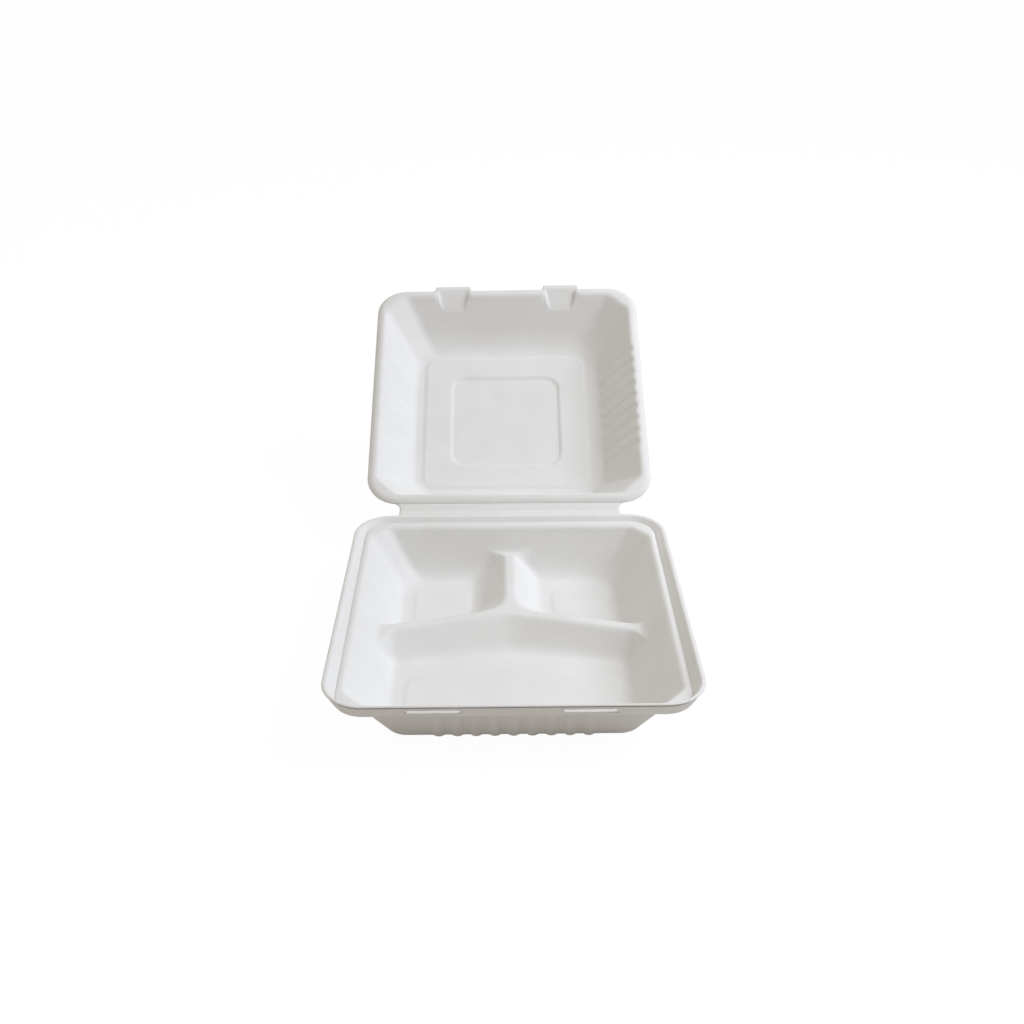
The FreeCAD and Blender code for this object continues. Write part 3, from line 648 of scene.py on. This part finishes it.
@dataclass
class LidSheet(PressedSheet):
    """The lid: rounded flange, leaning walls with ribs, a raised frame with a sunk dish, and two tabs."""

    name: str = "lid_shell"

    # Flange, and the rings of the mesh.
    half: float = 110.0
    near: float = 6.7
    far: float = 220.7
    corner: float = 24.0
    top: float = 2.2
    drop: float = 2.35
    fall: float = 5.2
    flange: float = 7.2
    lip_blend: float = 2.2
    bead_ring: int = 5
    bead_in: float = 3.0
    lip_ring: int = 12
    lip_in: float = 8.7
    lip_corner: float = 18.0
    foot_ring: int = 40
    foot_outline: Outline = Outline(77.8, 32.7, 184.7, 14.0)
    centre: float = 107.5

    # Walls, with the left and right ribs' depths.
    depth: float = 36.0
    run_side: float = 24.0
    run_near: float = 20.0
    run_far: float = 28.5
    cut_top: float = 16.0
    cut_floor: float = 13.0
    bow: float = 0.12
    corner_blend: float = 3.0
    end_blend: float = 1.0
    foot_blend: float = 5.0
    far_foot_blend: float = 8.0
    far_foot_from: float = 140.0
    far_foot_reach: float = 40.0
    ribs: Ribs = Ribs(11.5, 9, 108.4)
    rib_depths: tuple[float, float] = (0.15, 1.2)
    rib_foot: float = 1.95
    rib_taper: float = 0.78
    twist: float = 1.8

    # Raised frame and sunk dish.
    panel_shift: float = 2.0
    frame: Outline = Outline(67.6, 41.5, 173.0, 9.0)
    frame_rise: float = 1.2
    frame_edge: float = 2.6
    dish: Outline = Outline(45.0, 63.0, 151.8, 12.0)
    dish_sink: float = 1.5
    dish_edge: float = 1.6

    # Tabs and the pockets behind them.
    tab_place: float = 46.0
    tab_half: float = 15.0
    tab_reach: float = 2.8
    tab_root: float = 12.0
    tab_sink: float = 0.3
    tab_fade: float = 1.2
    tab_flank: float = 1.4
    tab_flank_out: float = 0.8
    pocket: float = 10.0
    pocket_spill: float = 0.3
    pocket_in: float = 14.6
    pocket_run: float = 12.6
    pocket_half: float = 9.2
    cheek_run: float = 4.0
    pocket_zone: float = 30.0
    pocket_blend: float = 0.6
    no_pocket: float = 5.0

    def __post_init__(self) -> None:
        """Lay the mesh's rings where the flange, walls and panel need them."""
        self.rings = [
            Ring(0, self.rim(0.0, self.corner)),
            Ring(self.bead_ring, self.rim(self.bead_in, self.corner - self.bead_in)),
            Ring(self.lip_ring, self.rim(self.lip_in, self.lip_corner)),
            Ring(self.foot_ring, self.foot_outline),
            Ring(self.cells // 2, Outline(0.0, self.centre, self.centre, 0.0)),
        ]

    def rim(self, inset: float, radius: float) -> Outline:
        """The flange's outline, drawn in all round, with the corner radius given."""
        return Outline(self.half - inset, self.near + inset, self.far - inset, radius)

    def walls(self, x: np.ndarray, y: np.ndarray) -> np.ndarray:
        """Heights of the leaning walls, their flat cut corners and the ribs.

        Args:
            x: Places across.
            y: Places along.

        Returns:
            Heights of the walls' planes, rounded where they meet.
        """
        floor = self.top - self.depth
        across = np.abs(x)
        inner, near, far = self.half - self.flange, self.near + self.flange, self.far - self.flange
        out = np.clip((across - inner + self.run_side) / self.run_side, 0.0, 1.0)
        rib = self.ribs.reach(y) / self.ribs.height() * np.where(x < 0, *self.rib_depths)
        rib = rib * (self.rib_foot - self.rib_taper * out)
        sag = self.bow * self.depth * out * (1.0 - out)
        side = floor + (across - rib - inner + self.run_side) * self.depth / self.run_side + sag
        front = floor + (near + self.run_near - y) * self.depth / self.run_near
        back = floor + (y - far + self.run_far) * self.depth / self.run_far
        cuts = []
        for sign, lip, run in ((-1, -near, self.run_near), (1, far, self.run_far)):
            low = (inner - self.run_side) + (lip - run) - self.cut_floor
            high = inner + lip - self.cut_top
            cuts.append(floor + (across + sign * y - low) * self.depth / (high - low))
        walls = soft_max(soft_max(side, cuts[0], self.corner_blend), cuts[1], self.corner_blend)
        return soft_max(walls, soft_max(front, back, self.end_blend), self.corner_blend)

    def flange_top(self, x: np.ndarray, y: np.ndarray) -> np.ndarray:
        """Heights of the flange, which rolls down to its edge and runs flat out on the tabs.

        Args:
            x: Places across.
            y: Places along.

        Returns:
            Heights in millimetres.
        """
        edge = -self.rim(0.0, self.corner).outside(x, y)
        flange = self.top - self.drop * np.clip(1.0 - edge / self.fall, 0.0, 1.0) ** 2
        on_tab = ease((self.tab_half + self.tab_fade / 2 - self.beside_tab(x)) / self.tab_fade)
        on_tab = on_tab * (y > self.far - self.tab_root)
        return flange + (self.top - self.tab_sink - flange) * on_tab

    def pockets(self, x: np.ndarray, y: np.ndarray) -> np.ndarray:
        """Heights of the hollows pressed behind the tabs.

        Args:
            x: Places across.
            y: Places along.

        Returns:
            Heights in millimetres, above the lid away from the tabs.
        """
        bottom = self.top - self.pocket
        rise = self.pocket + self.pocket_spill
        far_face = bottom + (y - (self.far - self.pocket_in)) * rise / self.pocket_run
        cheek = bottom + (self.beside_tab(x) - self.pocket_half) * rise / self.cheek_run
        hollow = soft_max(far_face, cheek, self.pocket_blend)
        hollow = soft_max(hollow, np.full_like(x, bottom), self.pocket_blend)
        return np.where(y > self.far - self.pocket_zone, hollow, self.top + self.no_pocket)

    def height(self, x: np.ndarray, y: np.ndarray) -> np.ndarray:
        """Height of the lid's inner surface above its own plane.

        Args:
            x: Places across.
            y: Places along.

        Returns:
            Heights in millimetres.
        """
        frame_edge = self.frame.outside(x + self.panel_shift, y)
        dish_edge = self.dish.outside(x + self.panel_shift, y)
        floor = np.full_like(x, self.top - self.depth)
        floor = floor + self.frame_rise * ease(0.5 - frame_edge / self.frame_edge)
        floor = floor - self.dish_sink * ease(0.5 - dish_edge / self.dish_edge)
        at_far = ease((y - self.far_foot_from) / self.far_foot_reach)
        inner = soft_max(self.walls(x, y), floor, self.foot_blend + self.far_foot_blend * at_far)
        lid = soft_min(inner, self.flange_top(x, y), self.lip_blend)
        return soft_min(lid, self.pockets(x, y), self.pocket_blend) + self.warp(x, y)

    def warp(self, x: np.ndarray, y: np.ndarray) -> np.ndarray:
        """How far the thin lid twists out of its plane: its right far corner stands a little high."""
        along = np.clip((y - self.near) / (self.far - self.near), 0.0, 1.0)
        return self.twist * (x / self.half) * along**2

    def beside_tab(self, x: np.ndarray) -> np.ndarray:
        """How far across each point lies from the middle of the nearer tab."""
        return np.abs(np.abs(x) - self.tab_place)

    def settle(self, x: np.ndarray, y: np.ndarray) -> tuple[np.ndarray, np.ndarray]:
        """Draw the far edge out to the tabs' tips.

        Args:
            x: Places across.
            y: Places along.

        Returns:
            The moved places.
        """
        reach = ease((self.tab_half + self.tab_flank_out - self.beside_tab(x)) / self.tab_flank)
        share = np.clip((y - self.far + self.tab_root) / self.tab_root, 0.0, 1.0)
        return x, y + self.tab_reach * reach * share


@dataclass
class HingeWeb:
    """The thin fold between tray and lid: a strip with a pressed, slightly wavy crease.

    Each wave is a height, a length and a start, in millimetres and radians.
    """

    name: str = "hinge_web"
    half: float = 84.0
    splay: float = 6.0
    reach: float = 8.6
    plain: float = 3.0
    axis_y: float = 117.5
    axis_z: float = 41.2
    lid_angle: float = 29.0
    bend: float = 1.5
    waves: tuple[tuple[float, float, float], ...] = ((0.25, 9.0, 0.0), (0.15, 3.7, 1.0))
    crease: float = 0.55
    crease_place: float = -3.9
    crease_width: float = 0.9
    sunk: float = 0.15
    step: float = 0.3
    step_place: float = -5.2
    columns: int = 120
    rows: int = 24
    thickness: float = 1.0

    def pressed(self, x: float, along: float) -> float:
        """How deep the strip is pressed at a point.

        Args:
            x: Place across.
            along: Place along the strip, from the fold's axis towards the lid.

        Returns:
            Depth in millimetres.
        """
        wave = sum(height * math.sin(x / length + start) for height, length, start in self.waves)
        crease = self.crease * math.exp(-(((along - wave - self.crease_place) / self.crease_width) ** 2))
        return crease + self.sunk + self.step * (along < self.step_place)

    def build(self) -> bpy.types.Object:
        """Lay the strip from the tray's rim to the lid's flange.

        Returns:
            The finished piece.
        """
        mesh = bmesh.new()
        bmesh.ops.create_grid(mesh, x_segments=self.columns, y_segments=self.rows, size=1.0)
        lean = math.radians(self.lid_angle)
        for vertex in mesh.verts:
            along = vertex.co.y * self.reach
            end = max(0.0, abs(along) - self.plain) / (self.reach - self.plain)
            x = vertex.co.x * (self.half + self.splay * end * end)
            press = self.pressed(x, along)
            angle = lean * (0.5 + 0.5 * math.tanh(along / self.bend))
            y = self.axis_y + along * math.cos(angle) + press * math.sin(angle)
            z = self.axis_z + along * math.sin(angle) - press * math.cos(angle)
            vertex.co = (x * MM, y * MM, z * MM)
        return finish_sheet(mesh, self.name, self.thickness, Matrix.Identity(4))


class Ray(Enum):
    """The rays that carry the background to the eye."""

    CAMERA = "Is Camera Ray"
    GLOSSY = "Is Glossy Ray"
    TRANSMISSION = "Is Transmission Ray"


@dataclass(frozen=True)
class Lamp:
    """A soft square studio lamp that looks at the container."""

    name: str
    place: tuple[float, float, float]
    size: float
    power: float
    tint: tuple[float, float, float]
    target: tuple[float, float, float] = (0.0, 0.05, 0.03)

    def hang(self) -> None:
        """Put the lamp in the scene."""
        light = bpy.data.lights.new(self.name, "AREA")
        light.shape = "SQUARE"
        light.size = self.size
        light.energy = self.power
        light.color = self.tint
        lamp = bpy.data.objects.new(light.name, light)
        lamp.location = self.place
        aim = Vector(self.target) - Vector(self.place)
        lamp.rotation_euler = aim.to_track_quat("-Z", "Y").to_euler()
        bpy.context.collection.objects.link(lamp)


@dataclass
class Studio:
    """The plain pale room: floor, world, lamp and camera.

    The room's light has a colour and a level, which grows along the lean. The floor shows white paper to the
    eye, mostly glowing, and a darker paper to the container. Angles are in degrees.
    """

    room_colour: tuple[float, float, float] = (1.0, 0.95, 0.86)
    ambient: float = 0.415
    ambient_lean: tuple[float, float, float] = (-0.18, 0.06, 0.08)
    lamp: Lamp = Lamp("lamp_right", (0.92, 0.05, 0.98), 0.8, 13.4, (0.84, 0.888, 1.0))
    floor_half: float = 60.0
    floor_colour: tuple[float, float, float] = (0.72, 0.68, 0.64)
    glow: float = 1.03
    glow_share: float = 0.93
    lens: float = 37.077
    sensor: float = 36.0
    nearest: float = 0.01
    shift: tuple[float, float] = (0.0011, 0.0341)
    eye: tuple[float, float, float] = (-0.00812, -0.57646, 0.45107)
    pitch: float = 32.53
    yaw: float = 0.76
    roll: float = 0.03

    def seen(self, nodes: bpy.types.Nodes, links: bpy.types.NodeLinks) -> bpy.types.NodeSocket:
        """A mask of the rays that carry the background to the eye.

        Args:
            nodes: The node tree's nodes.
            links: The node tree's links.

        Returns:
            A socket that is 1 for camera, glossy and transmission rays.
        """
        path = nodes.new("ShaderNodeLightPath")
        mask = path.outputs[Ray.CAMERA.value]
        for ray in (Ray.GLOSSY, Ray.TRANSMISSION):
            either = nodes.new("ShaderNodeMath")
            either.operation = "MAXIMUM"
            links.new(mask, either.inputs[0])
            links.new(path.outputs[ray.value], either.inputs[1])
            mask = either.outputs["Value"]
        return mask

    def floor(self) -> None:
        """Lay the pale floor, white to the eye but for a faint shadow."""
        mesh = bmesh.new()
        bmesh.ops.create_grid(mesh, x_segments=1, y_segments=1, size=self.floor_half)
        data = bpy.data.meshes.new("floor")
        mesh.to_mesh(data)
        mesh.free()
        floor = bpy.data.objects.new("floor", data)
        bpy.context.collection.objects.link(floor)
        material = bpy.data.materials.new("floor_paper")
        material.use_nodes = True
        nodes, links = material.node_tree.nodes, material.node_tree.links
        nodes.clear()
        output = nodes.new("ShaderNodeOutputMaterial")
        matt = nodes.new("ShaderNodeBsdfDiffuse")
        matt.inputs["Color"].default_value = (*self.floor_colour, 1.0)
        paper = nodes.new("ShaderNodeBsdfDiffuse")
        paper.inputs["Color"].default_value = (1.0, 1.0, 1.0, 1.0)
        shown = nodes.new("ShaderNodeMixShader")
        shown.inputs["Fac"].default_value = self.glow_share
        glow = nodes.new("ShaderNodeEmission")
        glow.inputs["Strength"].default_value = self.glow
        mix = nodes.new("ShaderNodeMixShader")
        links.new(paper.outputs["BSDF"], shown.inputs[1])
        links.new(glow.outputs["Emission"], shown.inputs[2])
        links.new(self.seen(nodes, links), mix.inputs["Fac"])
        links.new(matt.outputs["BSDF"], mix.inputs[1])
        links.new(shown.outputs["Shader"], mix.inputs[2])
        links.new(mix.outputs["Shader"], output.inputs["Surface"])
        data.materials.append(material)

    def world(self) -> None:
        """Fill the room with soft light and show a white background."""
        world = bpy.data.worlds.new("studio_room")
        bpy.context.scene.world = world
        world.use_nodes = True
        nodes, links = world.node_tree.nodes, world.node_tree.links
        nodes.clear()
        output = nodes.new("ShaderNodeOutputWorld")
        room = nodes.new("ShaderNodeBackground")
        room.inputs["Color"].default_value = (*self.room_colour, 1.0)
        place = nodes.new("ShaderNodeTexCoord")
        lean = nodes.new("ShaderNodeVectorMath")
        lean.operation = "DOT_PRODUCT"
        lean.inputs[1].default_value = self.ambient_lean
        level = nodes.new("ShaderNodeMath")
        level.operation = "ADD"
        level.inputs[1].default_value = self.ambient
        links.new(place.outputs["Generated"], lean.inputs[0])
        links.new(lean.outputs["Value"], level.inputs[0])
        links.new(level.outputs["Value"], room.inputs["Strength"])
        white = nodes.new("ShaderNodeBackground")
        white.inputs["Strength"].default_value = 1.0
        white.inputs["Color"].default_value = (1.0, 1.0, 1.0, 1.0)
        mix = nodes.new("ShaderNodeMixShader")
        links.new(self.seen(nodes, links), mix.inputs["Fac"])
        links.new(room.outputs["Background"], mix.inputs[1])
        links.new(white.outputs["Background"], mix.inputs[2])
        links.new(mix.outputs["Shader"], output.inputs["Surface"])

    def camera(self) -> None:
        """Set the camera where the photograph was taken from."""
        data = bpy.data.cameras.new("camera")
        data.lens = self.lens
        data.sensor_width = self.sensor
        data.shift_x, data.shift_y = self.shift
        data.clip_start = self.nearest
        camera = bpy.data.objects.new("camera", data)
        camera.location = self.eye
        turns = (90.0 - self.pitch, self.roll, -self.yaw)
        camera.rotation_euler = Euler([math.radians(turn) for turn in turns], "XYZ")
        bpy.context.collection.objects.link(camera)
        bpy.context.scene.camera = camera

    def build(self) -> None:
        """Set up the room, lamp and camera."""
        bpy.context.scene.view_settings.view_transform = "Standard"
        self.floor()
        self.world()
        self.lamp.hang()
        self.camera()


def lid_frame(web: HingeWeb) -> Matrix:
    """Where the lid's own frame lies: on the fold's axis, turned up to the open angle.

    Args:
        web: The fold.

    Returns:
        The lid frame in the container's frame.
    """
    move = Matrix.Translation((0.0, web.axis_y * MM, web.axis_z * MM))
    return move @ Matrix.Rotation(math.radians(web.lid_angle), 4, "X")


def main() -> None:
    """Build and dress the container, then set up the studio."""
    logging.basicConfig(level=logging.INFO, format="%(message)s")
    fibre = FibreFinish().material()
    web = HingeWeb()
    tray = TraySheet().build(Matrix.Identity(4))
    lid = LidSheet().build(lid_frame(web))
    fold = web.build()
    for piece, body in ((tray, "tray"), (lid, "lid")):
        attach(piece, body)
        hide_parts(body)
    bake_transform(fold)
    for piece in (tray, lid, fold):
        piece.data.materials.clear()
        piece.data.materials.append(fibre)
        log.info("%s: %d points before its thickness", piece.name, len(piece.data.vertices))
    for node in frame["nodes"].values():
        node.data.materials.clear()
        node.data.materials.append(fibre)
    Studio().build()


if __name__ == "__main__":
    main()
